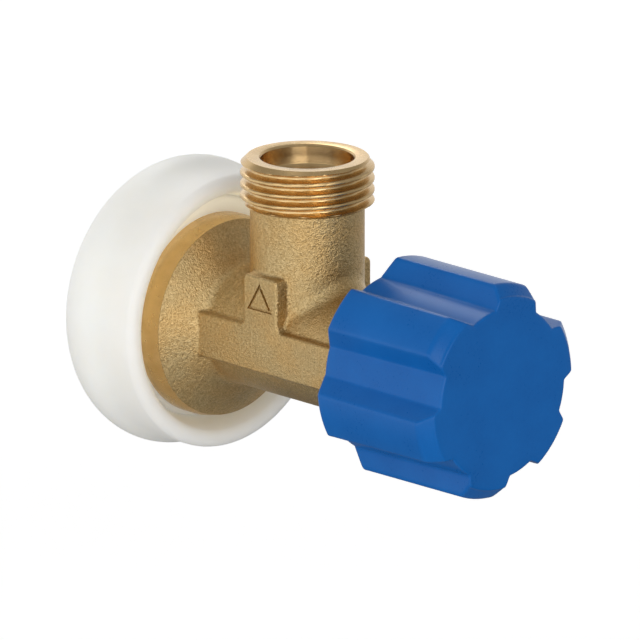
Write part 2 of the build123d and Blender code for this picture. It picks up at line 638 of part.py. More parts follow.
PIECES = {
    "valve_body": make_valve_body(),
    "wall_collar": make_wall_collar(),
    "bonnet": make_bonnet(),
    "bonnet_gasket": make_bonnet_gasket(),
    "spindle": make_spindle(),
    "spindle_o_ring_inner": o_ring(SPINDLE_O_RING_R, SPINDLE_O_RING_CORD_R, O_RING_INNER),
    "spindle_o_ring_outer": o_ring(SPINDLE_O_RING_R, SPINDLE_O_RING_CORD_R, O_RING_OUTER),
    "thrust_washer": make_thrust_washer(),
    "spindle_circlip": make_circlip(),
    "valve_carrier": make_valve_carrier(),
    "carrier_o_ring": o_ring(CARRIER_O_RING_R, CARRIER_O_RING_CORD_R, GROOVE_MIDDLE),
    "seat_washer": make_seat_washer(),
    "plain_washer": make_plain_washer(),
    "washer_screw": make_washer_screw(),
    "handwheel": make_handwheel(),
}

os.makedirs("parts", exist_ok=True)
for name, piece in PIECES.items():
    export_step(piece, f"parts/{name}.step")
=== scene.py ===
"""Looks of the angle valve: cast and turned brass, milky plastic collar, blue plastic handwheel."""
import math

import bmesh
import bpy
import numpy as np
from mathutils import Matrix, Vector


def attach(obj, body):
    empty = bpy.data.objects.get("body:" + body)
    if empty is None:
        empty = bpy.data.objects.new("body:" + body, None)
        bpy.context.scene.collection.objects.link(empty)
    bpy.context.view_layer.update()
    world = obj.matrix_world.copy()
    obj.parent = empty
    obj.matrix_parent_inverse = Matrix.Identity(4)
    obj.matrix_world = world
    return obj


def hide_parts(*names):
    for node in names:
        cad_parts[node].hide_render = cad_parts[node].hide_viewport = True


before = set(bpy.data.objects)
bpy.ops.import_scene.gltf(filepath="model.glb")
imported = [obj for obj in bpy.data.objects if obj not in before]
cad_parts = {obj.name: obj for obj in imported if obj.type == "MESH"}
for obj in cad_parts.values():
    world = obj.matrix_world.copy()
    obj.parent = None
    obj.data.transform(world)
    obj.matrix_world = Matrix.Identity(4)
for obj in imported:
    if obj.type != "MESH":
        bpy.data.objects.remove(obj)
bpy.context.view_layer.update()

MM = 0.001
TAU = 2 * math.pi

# Sizes that the solids and the pieces here share, in millimetres; a distance is -y, from the wall
OUTLET = 32.5
OUTLET_TOP = 29.5
THREAD_R = 10.4775
THREAD_PITCH = 1.814
THREAD_DEPTH = 1.162
THREAD_CHAMFER = 1.0
MOUTH_R = 7.3
MOUTH_DEPTH = 2.95
MOUTH_CONE = 1.3
BORE_R = 6.0
NECK_R = 8.95
NECK_CUT = 21.85
SPIGOT_R = 13.0
SPIGOT_CUT = 11.0
INLET_R = 9.3155
INLET_RUN_OUT = 0.6
PAD_X = 10.4
FLANGE_BACK = 11.2
FLANGE_FRONT = 15.25
FLANGE_FACE_R = 15.8
NOSE = 49.5
COLLAR_R = 23.2
COLLAR_BULGE = 6.7
COLLAR_BULGE_AT = 4.7
COLLAR_BULGE_END = math.radians(20)
COLLAR_LIP_R = 22.0
COLLAR_LIP = 1.5
COLLAR_LIP_FRONT = 15.7
COLLAR_FLOOR_R = 17.4
COLLAR_BORE_R = 14.0
COLLAR_LIFT = 0.9
COLLAR_WALL = 2.4
COLLAR_FOOT_WALL = 2.5
COLLAR_RIBS = 8
COLLAR_RIB_WIDTH = 1.8
COLLAR_RIB_BACK = 0.02
WHEEL_BACK = 50.8
WHEEL_BACK_TAPER = 1.15
WHEEL_FRONT = 75.25
WHEEL_FACE = 2.4
WHEEL_WALL = 2.0
WHEEL_WALL_TURN = 2.5
WHEEL_BEVEL = 2.0
WHEEL_BLEND = 0.4
WHEEL_RIM_ROUND = 0.4
# Rounding of the front face's edge, across the axis and along it
WHEEL_EDGE_R = 0.45
WHEEL_EDGE_D = 0.3
WHEEL_RIB_WIDTH = 1.6
WHEEL_RIB_STEP = 1.4
WHEEL_RIB_SINK = 0.8
# Crest radius, its half angle, groove radius and its half angle, at the handwheel's back and front;
# these angles and PHASE, where the first lobe lies, are in degrees
LOBES_BACK = np.array((17.1, 12.5, 14.3, 9.0))
LOBES_FRONT = np.array((16.887, 12.0, 13.587, 10.5))
LOBES = 6
PHASE = 17.5
HUB_R = 6.2
HUB_BACK = 64.35
SOCKET_HALF = 2.85
SOCKET_END = 71.45
# How far a piece runs into its neighbour, so that no gap shows
SINK = 0.1
RIB_SINK = 0.2


def full_turn(count):
    """Angles all the way round, evenly spaced."""
    return np.linspace(0, TAU, count, endpoint=False)


def sheet_faces(rows, columns, wrap_rows, wrap_columns):
    """Quads of a grid of points numbered row by row, closed across the ends that wrap."""
    i, j = np.meshgrid(
        np.arange(rows if wrap_rows else rows - 1),
        np.arange(columns if wrap_columns else columns - 1),
        indexing="ij",
    )
    k, m = (i + 1) % rows, (j + 1) % columns
    quads = np.stack([i * columns + j, i * columns + m, k * columns + m, k * columns + j], -1)
    return quads.reshape(-1, 4).tolist()


def mesh_from(points, faces, name):
    """A mesh in metres from points in millimetres, its faces turned outwards and double points merged."""
    mesh = bpy.data.meshes.new(name)
    mesh.from_pydata((np.asarray(points, float) * MM).tolist(), [], faces)
    work = bmesh.new()
    work.from_mesh(mesh)
    bmesh.ops.remove_doubles(work, verts=work.verts, dist=1e-7)
    bmesh.ops.dissolve_degenerate(work, edges=work.edges, dist=1e-7)
    bmesh.ops.recalc_face_normals(work, faces=work.faces)
    work.to_mesh(mesh)
    work.free()
    return mesh


def joined(name, *meshes):
    """One mesh made of several closed ones."""
    work = bmesh.new()
    for mesh in meshes:
        work.from_mesh(mesh)
    out = bpy.data.meshes.new(name)
    work.to_mesh(out)
    work.free()
    return out


def piece(name, mesh, body, material, replaces, sharp=32):
    """An object for a mesh: smooth but for edges sharper than an angle, riding on its body in place of its
    solid."""
    obj = bpy.data.objects.new(name, mesh)
    bpy.context.scene.collection.objects.link(obj)
    mesh.shade_smooth()
    mesh.set_sharp_from_angle(angle=math.radians(sharp))
    mesh.materials.append(material)
    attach(obj, body)
    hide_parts(*replaces)


def rounded(corners, steps=6):
    """A closed outline through corners (a, b, rounding): each corner is a quadratic curve
    p(t) = (1-t)^2 p0 + 2t(1-t) c + t^2 p1 between points a rounding away along its two sides,
    or just under half a side where that is less."""
    t = np.linspace(0, 1, steps)[:, None]
    places = np.array([corner[:2] for corner in corners], float)
    curves = []
    for k, (_, _, radius) in enumerate(corners):
        c = places[k]
        if radius == 0:
            curves.append(c[None])
            continue
        ends = []
        for neighbour in (places[k - 1], places[(k + 1) % len(places)]):
            side = neighbour - c
            length = np.linalg.norm(side)
            ends.append(c + side / length * min(radius, 0.49 * length))
        curves.append((1 - t) ** 2 * ends[0] + 2 * t * (1 - t) * c + t * t * ends[1])
    return np.concatenate(curves)


def arc(radius, distance, size, turn):
    """Points of an arc in an outline: (radius, distance) + size (cos t, sin t)."""
    return np.stack([radius + size * np.cos(turn), distance + size * np.sin(turn)], -1)


def around_inlet(radius, distance, angle, lift=0.0):
    """Points r(cos a, ., sin a) about the inlet axis at distances from the wall, raised by a lift."""
    return np.stack([radius * np.cos(angle), -distance, radius * np.sin(angle) + lift], -1)


def around_outlet(radius, height, angle):
    """Points r(cos a, sin a, .) about the outlet axis at heights above the inlet axis."""
    return np.stack([radius * np.cos(angle), radius * np.sin(angle) - OUTLET, height], -1)


def thread_wave(turns):
    """Depth of a rounded V thread, 0 on the crest and 1 in the root, for a phase in turns:
    the triangle wave 2|phase - 0.5|, held so that crests and roots are flat over a seventh of the pitch,
    and then the smooth step f^2 (3 - 2f) of that."""
    wave = 2 * np.abs((turns % 1.0) - 0.5)
    flat = np.clip((wave - 0.14) / 0.72, 0, 1)
    return flat * flat * (3 - 2 * flat)


def threaded_outlet():
    """Mouth of the outlet, r(a, z) = min(R - depth w(z/p - a/2pi), cones at both ends), with the stepped
    bore inside."""
    angle = full_turn(180)
    z = np.arange(NECK_CUT + 0.05, OUTLET_TOP - 0.02, 0.09)
    grid_z, grid_a = np.meshgrid(z, angle, indexing="ij")
    ridge = THREAD_R - THREAD_DEPTH * thread_wave(grid_z / THREAD_PITCH - grid_a / TAU)
    chamfer_r = THREAD_R - THREAD_CHAMFER
    top = chamfer_r + (OUTLET_TOP - grid_z) * 1.05
    bottom = chamfer_r + (grid_z - NECK_CUT) * 1.6
    outside = around_outlet(np.minimum(ridge, np.minimum(top, bottom)), grid_z, grid_a)
    step = OUTLET_TOP - MOUTH_DEPTH
    corners = [
        (chamfer_r, OUTLET_TOP),
        (MOUTH_R + 0.38, OUTLET_TOP),
        (MOUTH_R + 0.2, OUTLET_TOP - 0.06),
        (MOUTH_R, OUTLET_TOP - 0.35),
        (MOUTH_R, OUTLET_TOP - 1.6),
        (MOUTH_R, step),
        (MOUTH_R - 0.08, step - 0.17),
        (BORE_R + 0.05, step - MOUTH_CONE),
        (BORE_R, step - MOUTH_CONE - 0.2),
        (BORE_R, NECK_CUT),
        (NECK_R, NECK_CUT),
        (NECK_R, NECK_CUT + 0.03),
    ]
    inside = [around_outlet(r, np.full_like(angle, h), angle) for r, h in corners]
    points = np.concatenate([outside, np.array(inside)])
    faces = sheet_faces(len(points), len(angle), True, True)
    return mesh_from(points.reshape(-1, 3), faces, "threaded_outlet")


def threaded_inlet():
    """End of the spigot with the inlet's inside thread, r(a, d) = R1 + depth (1 - w(d/p + a/2pi)), held
    below a cone at its inner end and above a cone at its mouth."""
    angle = full_turn(150)
    thread_end = SPIGOT_CUT - INLET_RUN_OUT
    grid_d, grid_a = np.meshgrid(np.arange(0.3, thread_end, 0.11), angle, indexing="ij")
    groove = INLET_R + THREAD_DEPTH * (1 - thread_wave(grid_d / THREAD_PITCH + grid_a / TAU))
    mouth = INLET_R + 1.1 - grid_d * 0.9
    end = INLET_R + (thread_end - grid_d) * 0.7
    wall = around_inlet(np.maximum(np.minimum(groove, end), np.maximum(mouth, INLET_R)), grid_d, grid_a)
    corners = [
        (INLET_R, SPIGOT_CUT - 0.4),
        (INLET_R, SPIGOT_CUT),
        (SPIGOT_R, SPIGOT_CUT),
        (SPIGOT_R, 0.75),
        (SPIGOT_R - 0.08, 0.5),
        (SPIGOT_R - 0.5, 0.08),
        (SPIGOT_R - 0.7, 0.0),
        (INLET_R + 1.25, 0.0),
    ]
    outside = [around_inlet(r, np.full_like(angle, d), angle) for r, d in corners]
    points = np.concatenate([wall, np.array(outside)])
    faces = sheet_faces(len(points), len(angle), True, True)
    return mesh_from(points.reshape(-1, 3), faces, "threaded_inlet")


def cut_casting():
    """The casting's own mesh, its points merged, cut square where the two threaded ends go on. Its stored
    normals are left out, because they don't fit the cut faces."""
    work = bmesh.new()
    work.from_mesh(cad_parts["valve_body"].data)
    bmesh.ops.remove_doubles(work, verts=work.verts, dist=2e-7)
    cuts = [((0, 0, NECK_CUT * MM), (0, 0, 1)), ((0, -SPIGOT_CUT * MM, 0), (0, 1, 0))]
    for place, normal in cuts:
        everything = work.verts[:] + work.edges[:] + work.faces[:]
        bmesh.ops.bisect_plane(
            work, geom=everything, dist=1e-8, plane_co=place, plane_no=normal, clear_outer=True
        )
        rim = [e for e in work.edges if e.is_boundary]
        bmesh.ops.triangle_fill(work, use_beauty=True, edges=rim)
    bmesh.ops.recalc_face_normals(work, faces=work.faces)
    mesh = bpy.data.meshes.new("casting")
    work.to_mesh(mesh)
    work.free()
    stored = mesh.attributes.get("custom_normal")
    if stored:
        mesh.attributes.remove(stored)
    return mesh


def arrow_groove(side):
    """A sunk triangle outline on a pad's stem: three sides between an outer and an inner triangle, from
    below the pad's face to above it."""
    outer = [(-2.75, 6.45), (2.75, 6.45), (0.0, 10.95)]
    inner = [(-1.95, 6.95), (1.95, 6.95), (0.0, 10.02)]
    depth, reach = 0.45, 0.8
    y, z = np.array(outer + inner).T
    ends = (PAD_X - depth, PAD_X + reach)
    levels = [np.stack([np.full_like(y, side * x), y - OUTLET, z], -1) for x in ends]
    faces = []
    for k in range(3):
        m = (k + 1) % 3
        faces += [
            (k, m, 3 + m, 3 + k),
            (6 + k, 6 + m, 9 + m, 9 + k),
            (k, m, 6 + m, 6 + k),
            (3 + k, 3 + m, 9 + m, 9 + k),
        ]
    return mesh_from(np.concatenate(levels), faces, "arrow_groove")


def carve(mesh, cutter):
    """The first mesh less the second."""
    holder = bpy.data.objects.new("carve_a", mesh)
    knife = bpy.data.objects.new("carve_b", cutter)
    for obj in (holder, knife):
        bpy.context.scene.collection.objects.link(obj)
    step = holder.modifiers.new("cut", "BOOLEAN")
    step.operation, step.solver, step.object = "DIFFERENCE", "EXACT", knife
    bpy.context.view_layer.update()
    evaluated = holder.evaluated_get(bpy.context.evaluated_depsgraph_get())
    out = bpy.data.meshes.new_from_object(evaluated)
    bpy.data.objects.remove(holder)
    bpy.data.objects.remove(knife)
    return out


def rib_mesh(inner, outer, back, front, width, turn, lift=0.0):
    """A flat radial rib: an outline with a slightly crowned back edge, carried from an inner to an outer
    radius r at an angle a, so that a point s to the side lies at (r cos a - s sin a, r sin a + s cos a)."""
    half, crown = width / 2, 0.35
    s, d = rounded([(-half, back, crown), (half, back, crown), (half, front, 0), (-half, front, 0)], 4).T
    cos, sin = math.cos(turn), math.sin(turn)
    ends = [np.stack([r * cos - s * sin, -d, r * sin + s * cos + lift], -1) for r in (inner, outer)]
    count = len(s)
    faces = sheet_faces(2, count, False, True)
    faces += [list(range(count)), list(range(count, 2 * count))]
    return mesh_from(np.concatenate(ends), faces, "rib")


def collar_mesh():
    """Wall collar: a closed outline turned about its own axis, and ribs in its back groove. The outline is
    the bulge's arc, a waist as the cubic (2t^3-3t^2+1) a + (t^3-2t^2+t) u + (3t^2-2t^3) b + (t^3-t^2) v
    from the bulge to the lip along their directions, the lip's arc to the line that touches it from the
    dish's floor, and the rounded corners of the dish, the bore, the back groove and the foot."""
    lip_r, lip_at = COLLAR_LIP_R - COLLAR_LIP, COLLAR_LIP_FRONT - COLLAR_LIP
    foot = math.asin(COLLAR_BULGE_AT / COLLAR_BULGE)
    bulge_r = COLLAR_R - COLLAR_BULGE
    foot_r = bulge_r + COLLAR_BULGE * math.cos(foot)
    bulge = arc(bulge_r, COLLAR_BULGE_AT, COLLAR_BULGE, np.linspace(-foot, COLLAR_BULGE_END, 22))

    a, b = bulge[-1], np.array((COLLAR_LIP_R, lip_at))
    reach = np.linalg.norm(b - a)
    u = np.array((-math.sin(COLLAR_BULGE_END), math.cos(COLLAR_BULGE_END))) * reach
    v = np.array((0.0, 1.0)) * reach
    t = np.linspace(0, 1, 14)[1:-1, None]
    waist = (2 * t**3 - 3 * t**2 + 1) * a + (t**3 - 2 * t**2 + t) * u
    waist += (3 * t**2 - 2 * t**3) * b + (t**3 - t**2) * v

    run = (COLLAR_FLOOR_R - lip_r, FLANGE_BACK - lip_at)
    touch = TAU + math.atan2(run[1], run[0]) - math.acos(COLLAR_LIP / math.hypot(*run))
    lip = arc(lip_r, lip_at, COLLAR_LIP, np.linspace(0, touch, 18))

    core_in, core_out = COLLAR_BORE_R + COLLAR_WALL, foot_r - COLLAR_FOOT_WALL
    core_end = FLANGE_BACK - COLLAR_WALL
    back = rounded([
        (COLLAR_FLOOR_R, FLANGE_BACK, 1.2),
        (COLLAR_BORE_R, FLANGE_BACK, 0.4),
        (COLLAR_BORE_R, 0.0, 0.4),
        (core_in, 0.0, 0.4),
        (core_in, core_end, 0.8),
        (core_out, core_end, 0.8),
        (core_out, 0.0, 0.4),
        (foot_r, 0.0, 0.5),
    ])

    outline = np.concatenate([bulge[1:], waist, lip, back])
    angle = full_turn(192)
    grid_r, grid_a = np.meshgrid(outline[:, 0], angle, indexing="ij")
    grid_d = np.repeat(outline[:, 1:2], len(angle), 1)
    points = around_inlet(grid_r, grid_d, grid_a, COLLAR_LIFT).reshape(-1, 3)
    ring = mesh_from(points, sheet_faces(len(outline), len(angle), True, True), "ring")
    ribs = [
        rib_mesh(
            core_in - RIB_SINK, core_out + RIB_SINK, COLLAR_RIB_BACK, core_end + RIB_SINK,
            COLLAR_RIB_WIDTH, TAU * k / COLLAR_RIBS, COLLAR_LIFT,
        )
        for k in range(COLLAR_RIBS)
    ]
    return joined("wall_collar_moulded", ring, *ribs)


def lobed(angle, share, wall=0.0, turn=0.0):
    """Outline of the handwheel at a share of its length from the back, or a wall inside it. Its four sizes
    are linear in the share. Crest arcs lie round the middle of each lobe and groove arcs between lobes. A
    straight flank from p on the crest to q in the groove, with the normal n, has
    r(a) = n.p / n.(cos a, sin a). The corners are smoothed over about 1.5 degrees."""
    inset = np.array((wall, turn, wall, -turn))
    crest, crest_half, groove, groove_half = LOBES_BACK + share * (LOBES_FRONT - LOBES_BACK) - inset
    count, reach = 7200, 31
    fine = full_turn(count)
    pitch = TAU / LOBES
    off = np.degrees(np.abs((fine - math.radians(PHASE) + pitch / 2) % pitch - pitch / 2))
    groove_start = 180 / LOBES - groove_half
    a, b = math.radians(crest_half), math.radians(groove_start)
    p = np.array((crest * math.cos(a), crest * math.sin(a)))
    q = np.array((groove * math.cos(b), groove * math.sin(b)))
    normal = np.array((q[1] - p[1], p[0] - q[0]))
    phi = np.radians(off)
    flank = (normal @ p) / (normal[0] * np.cos(phi) + normal[1] * np.sin(phi))
    radius = np.where(off < crest_half, crest, np.where(off > groove_start, groove, flank))
    window = np.hanning(2 * reach + 1)
    window /= window.sum()
    smooth = np.convolve(np.concatenate([radius[-reach:], radius, radius[:reach]]), window, "valid")
    return np.interp(angle, np.append(fine, TAU), np.append(smooth, smooth[0]))


def smooth_min(a, b, blend):
    """The smaller of a and b, rounded where they cross: b + (a - b) h - blend h (1 - h), where h is
    0.5 + (b - a) / (2 blend), held between 0 and 1."""
    h = np.clip(0.5 + 0.5 * (b - a) / blend, 0, 1)
    return b + (a - b) * h - blend * h * (1 - h)


def wheel_shell():
    """Handwheel's shell: rows from the middle of the inside face, along the inside wall, round the back rim,
    along the outside r(a, d) = smooth_min(lobes(a, d), bevel(d)) and over the front face to its middle. The
    back rim lies on a shallow cone, so that the crests end in front of the grooves."""
    angle = full_turn(432)
    ones = np.ones_like(angle)
    inside = WHEEL_FRONT - WHEEL_FACE
    rows = []

    def add(radius, distance):
        rows.append(around_inlet(radius * ones, distance * ones, angle))

    def outer(d):
        return lobed(angle, (d - WHEEL_BACK) / (WHEEL_FRONT - WHEEL_BACK))

    def inner(d):
        return lobed(angle, (d - WHEEL_BACK) / (inside - WHEEL_BACK), WHEEL_WALL, WHEEL_WALL_TURN)

    def back(radius):
        slope = WHEEL_BACK_TAPER / (LOBES_BACK[0] - LOBES_BACK[2])
        return WHEEL_BACK + np.maximum(radius - LOBES_BACK[2], 0) * slope

    # Inside face and wall
    end = inner(inside)
    add(0.0, inside)
    for share in (0.3, 0.6, 0.85):
        add((end - 0.4) * share, inside)
    for inset, depth in ((0.6, 0.0), (0.3, 0.12), (0.1, 0.5)):
        add(end - inset, inside - depth)
    for d in np.linspace(inside - 1.5, WHEEL_BACK + 1.0, 8):
        add(inner(d), d)

    # Back rim, its outer edge rounded
    lip, edge = inner(WHEEL_BACK), outer(WHEEL_BACK)
    add(lip + 0.08, back(lip) + 0.12)
    add(lip + 0.3, back(lip + 0.3))
    for t in np.radians(np.linspace(0, 90, 6)):
        radius = edge - WHEEL_RIM_ROUND * (1 - np.sin(t))
        add(radius, back(radius) + WHEEL_RIM_ROUND * (1 - np.cos(t)))
    grip_start = WHEEL_BACK + 2.6
    add(outer(WHEEL_BACK + 1.5), 0.5 * (back(edge) + WHEEL_RIM_ROUND) + 0.5 * grip_start)

    # Outside with its bevel, then the front face
    grip = np.linspace(grip_start, WHEEL_FRONT - 4.0, 10)
    bevelled = np.linspace(WHEEL_FRONT - 3.6, WHEEL_FRONT - WHEEL_EDGE_D, 16)
    for d in np.concatenate([grip, bevelled]):
        bevel = LOBES_FRONT[0] - (d - (WHEEL_FRONT - WHEEL_BEVEL))
        add(smooth_min(outer(d), bevel, WHEEL_BLEND), d)
    rim = smooth_min(outer(WHEEL_FRONT), LOBES_FRONT[0] - (WHEEL_BEVEL - WHEEL_EDGE_D), WHEEL_BLEND)
    for t in np.radians(np.linspace(15, 90, 6)):
        add(rim - WHEEL_EDGE_R * (1 - np.cos(t)), WHEEL_FRONT - WHEEL_EDGE_D * (1 - np.sin(t)))
    for share in (0.93, 0.8, 0.6, 0.35, 0.12):
        add((rim - WHEEL_EDGE_R) * share, WHEEL_FRONT)
    add(0.0, WHEEL_FRONT)
    faces = sheet_faces(len(rows), len(angle), False, True)
    return mesh_from(np.array(rows).reshape(-1, 3), faces, "shell")


def wheel_hub():
    """Handwheel's hub: rows of radii at distances about the axis, where the square socket of half width s
    has r(a) = s / max(|cos a|, |sin a|)."""
    angle = full_turn(96)
    ones = np.ones_like(angle)
    square = SOCKET_HALF / np.maximum(np.abs(np.cos(angle)), np.abs(np.sin(angle)))
    root = WHEEL_FRONT - WHEEL_FACE + SINK
    bevel = 0.25
    # A hair-thin hole along the axis closes the ring of rows
    hole = 0.01
    rows = [
        (HUB_R, root),
        (HUB_R, HUB_BACK + bevel),
        (HUB_R - 0.15, HUB_BACK + 0.1),
        (HUB_R - 0.5, HUB_BACK),
        (square + bevel, HUB_BACK),
        (square, HUB_BACK + bevel),
        (square, SOCKET_END),
        (hole, SOCKET_END),
        (hole, root),
    ]
    points = np.array([around_inlet(r * ones, d * ones, angle) for r, d in rows])
    return mesh_from(points.reshape(-1, 3), sheet_faces(len(rows), len(angle), True, True), "hub")


def handwheel_mesh():
    """Handwheel: its shell, its hub, and a rib from the hub to the wall behind each groove."""
    root = WHEEL_FRONT - WHEEL_FACE + SINK
    back = HUB_BACK + WHEEL_RIB_STEP
    end = LOBES_FRONT[2] - WHEEL_WALL + WHEEL_RIB_SINK
    ribs = []
    for k in range(LOBES):
        turn = math.radians(PHASE + (k + 0.5) * 360 / LOBES)
        ribs.append(rib_mesh(HUB_R - RIB_SINK, end, back, root, WHEEL_RIB_WIDTH, turn))
    return joined("handwheel_moulded", wheel_shell(), wheel_hub(), *ribs)


class Value:
    """A shader socket: arithmetic on it adds Math nodes, and node() adds any other node. Without a socket it
    is only a place to start a tree of nodes from."""

    def __init__(self, tree, socket=None):
        self.tree, self.socket = tree, socket

    def node(self, kind, output=0, inputs=None, **settings):
        """An output of a new node, with its settings made first and then its sockets set or linked."""
        new = self.tree.nodes.new(kind)
        for key, value in settings.items():
            setattr(new, key, value)
        for key, value in (inputs or {}).items():
            if isinstance(value, Value):
                self.tree.links.new(value.socket, new.inputs[key])
            else:
                new.inputs[key].default_value = value
        return Value(self.tree, new.outputs[output])

    def math(self, operation, *others):
        """A Math node's result for this value and others."""
        inputs = {0: self} | {k + 1: other for k, other in enumerate(others)}
        return self.node("ShaderNodeMath", inputs=inputs, operation=operation)

    def __add__(self, other):
        return self.math("ADD", other)

    __radd__ = __add__

    def __mul__(self, other):
        return self.math("MULTIPLY", other)

    __rmul__ = __mul__

    def __sub__(self, other):
        return self.math("SUBTRACT", other)

    def __rsub__(self, other):
        return self * -1.0 + other

    def __pow__(self, other):
        return self.math("POWER", other)

    def __rpow__(self, other):
        return self.node("ShaderNodeMath", inputs={0: other, 1: self}, operation="POWER")

    def parts(self):
        """The three parts of this place or direction."""
        return [self.node("ShaderNodeSeparateXYZ", output=k, inputs={0: self}) for k in range(3)]

    def ramp(self, low, high):
        """0 below low, 1 above high, smooth between."""
        inputs = {0: self, 1: low, 2: high, 3: 0.0, 4: 1.0}
        return self.node("ShaderNodeMapRange", inputs=inputs, interpolation_type="SMOOTHSTEP")

    def stretched(self, x, y, z):
        """This place with its three parts multiplied."""
        return self.node("ShaderNodeVectorMath", inputs={0: self, 1: (x, y, z)}, operation="MULTIPLY")

    def noise(self, scale, detail=2.0, rough=0.5):
        """Noise at this place, with a scale per metre."""
        inputs = {"Vector": self, "Scale": scale, "Detail": detail, "Roughness": rough}
        return self.node("ShaderNodeTexNoise", inputs=inputs)

    def between(self, first, second):
        """A colour mixed from two by this share."""
        inputs = {0: self, 6: first, 7: second}
        return self.node("ShaderNodeMix", output=2, inputs=inputs, data_type="RGBA", clamp_factor=True)

    def bump(self, strength, depth):
        """A normal from this height; depth is in metres."""
        return self.node("ShaderNodeBump", inputs={"Height": self, "Strength": strength, "Distance": depth})


class Paint:
    """A material with a Principled shader, its Object coordinates, and their parts in metres."""

    def __init__(self, name, **constants):
        self.material = bpy.data.materials.new(name)
        self.material.use_nodes = True
        self.tree = self.material.node_tree
        self.shader = next(n for n in self.tree.nodes if n.type == "BSDF_PRINCIPLED")
        for key, value in constants.items():
            self.shader.inputs[key.replace("_", " ")].default_value = value
        self.at = Value(self.tree).node("ShaderNodeTexCoord", output="Object")
        self.x, self.y, self.z = self.at.parts()

    def set(self, **varying):
        """The material, with what changes over the surface linked to the shader."""
        for key, value in varying.items():
            self.tree.links.new(value.socket, self.shader.inputs[key.replace("_", " ")])
        return self.material


def rgb(r, g, b):
    """A shader colour from the 0 to 255 values of a picture."""
    def linear(c):
        c = c / 255
        return c / 12.92 if c <= 0.04045 else ((c + 0.055) / 1.055) ** 2.4

    return (linear(r), linear(g), linear(b), 1.0)


def brass_body():
    """Sand-cast brass with machined ends: grain and mottling where it is cast, turning lines where it is
    cut, and a polished outlet that is rougher further in, where a darker brown is painted shade down in the
    bore."""
    p = Paint("cast_brass", Metallic=1.0)
    from_inlet = (p.x**2.0 + p.z**2.0) ** 0.5
    from_outlet = (p.x**2.0 + (p.y + OUTLET * MM) ** 2.0) ** 0.5
    distance = p.y * -1.0

    # Where the casting is machined
    top = p.z.ramp((NECK_CUT - 0.03) * MM, (NECK_CUT + 0.03) * MM)
    rim = from_inlet.ramp((FLANGE_FACE_R - 0.06) * MM, FLANGE_FACE_R * MM)
    rim = rim * (1.0 - distance.ramp((FLANGE_FRONT - 0.02) * MM, (FLANGE_FRONT + 0.04) * MM))
    back = 1.0 - distance.ramp((FLANGE_BACK - 0.12) * MM, (FLANGE_BACK - 0.06) * MM)
    nose = distance.ramp((NOSE - 0.06) * MM, (NOSE - 0.02) * MM)
    cut = (top + rim + back + nose).math("MINIMUM", 1.0)
    step = OUTLET_TOP - MOUTH_DEPTH
    bore = top * (1.0 - from_outlet.ramp((MOUTH_R + 0.1) * MM, (MOUTH_R + 0.3) * MM))
    # Painted shade: below the bore's step the colour turns darker brown, as if shadowed
    painted_bore_shade = bore * (1.0 - p.z.ramp((step - 1.25) * MM, (step + 0.05) * MM))

    grain = p.at.noise(5200.0, 2.0, 0.6)
    coarse = p.at.noise(2300.0, 2.0, 0.55)
    speck = (grain * 0.6 + coarse * 0.4).ramp(0.34, 0.68)
    warm = p.at.noise(170.0, 3.0, 0.55).ramp(0.3, 0.72)
    dark = warm.between(rgb(171, 145, 98), rgb(177, 143, 90))
    light = warm.between(rgb(215, 190, 141), rgb(219, 186, 130))
    lines = (p.z * 52000.0 * top + distance * 52000.0 * (1.0 - top)).math("SINE") * 0.5 + 0.5
    turned = (p.at.noise(420.0, 2.0) * 0.8 + lines * 0.2).between(rgb(192, 158, 106), rgb(226, 196, 146))
    polish = p.at.noise(700.0) * 0.12 + 0.2 - (bore - painted_bore_shade) * 0.06
    height = (grain * 0.8 + coarse * 0.9) * (1.0 - cut) + lines * cut * (bore * 0.045 + 0.015)
    return p.set(
        # The bore's darker brown below its step is painted shade
        Base_Color=cut.between(speck.between(dark, light), painted_bore_shade.between(turned, rgb(150, 108, 60))),
        Roughness=(speck * 0.10 + 0.33) * (1.0 - cut) + polish * cut,
        Normal=height.bump(0.75, 0.0002),
    )


def turned_brass():
    """Turned brass: fine rings along the axis and a faint tarnish."""
    p = Paint("turned_brass", Metallic=1.0)
    lines = (p.y * 42000.0).math("SINE") * 0.5 + 0.5
    tone = p.at.noise(260.0, 3.0) * 0.75 + lines * 0.25
    return p.set(
        Base_Color=tone.between(rgb(176, 132, 72), rgb(222, 180, 112)),
        Roughness=p.at.noise(900.0) * 0.14 + 0.2,
        Normal=(lines * 0.4 + p.at.noise(2500.0)).bump(0.12, 0.00004),
    )


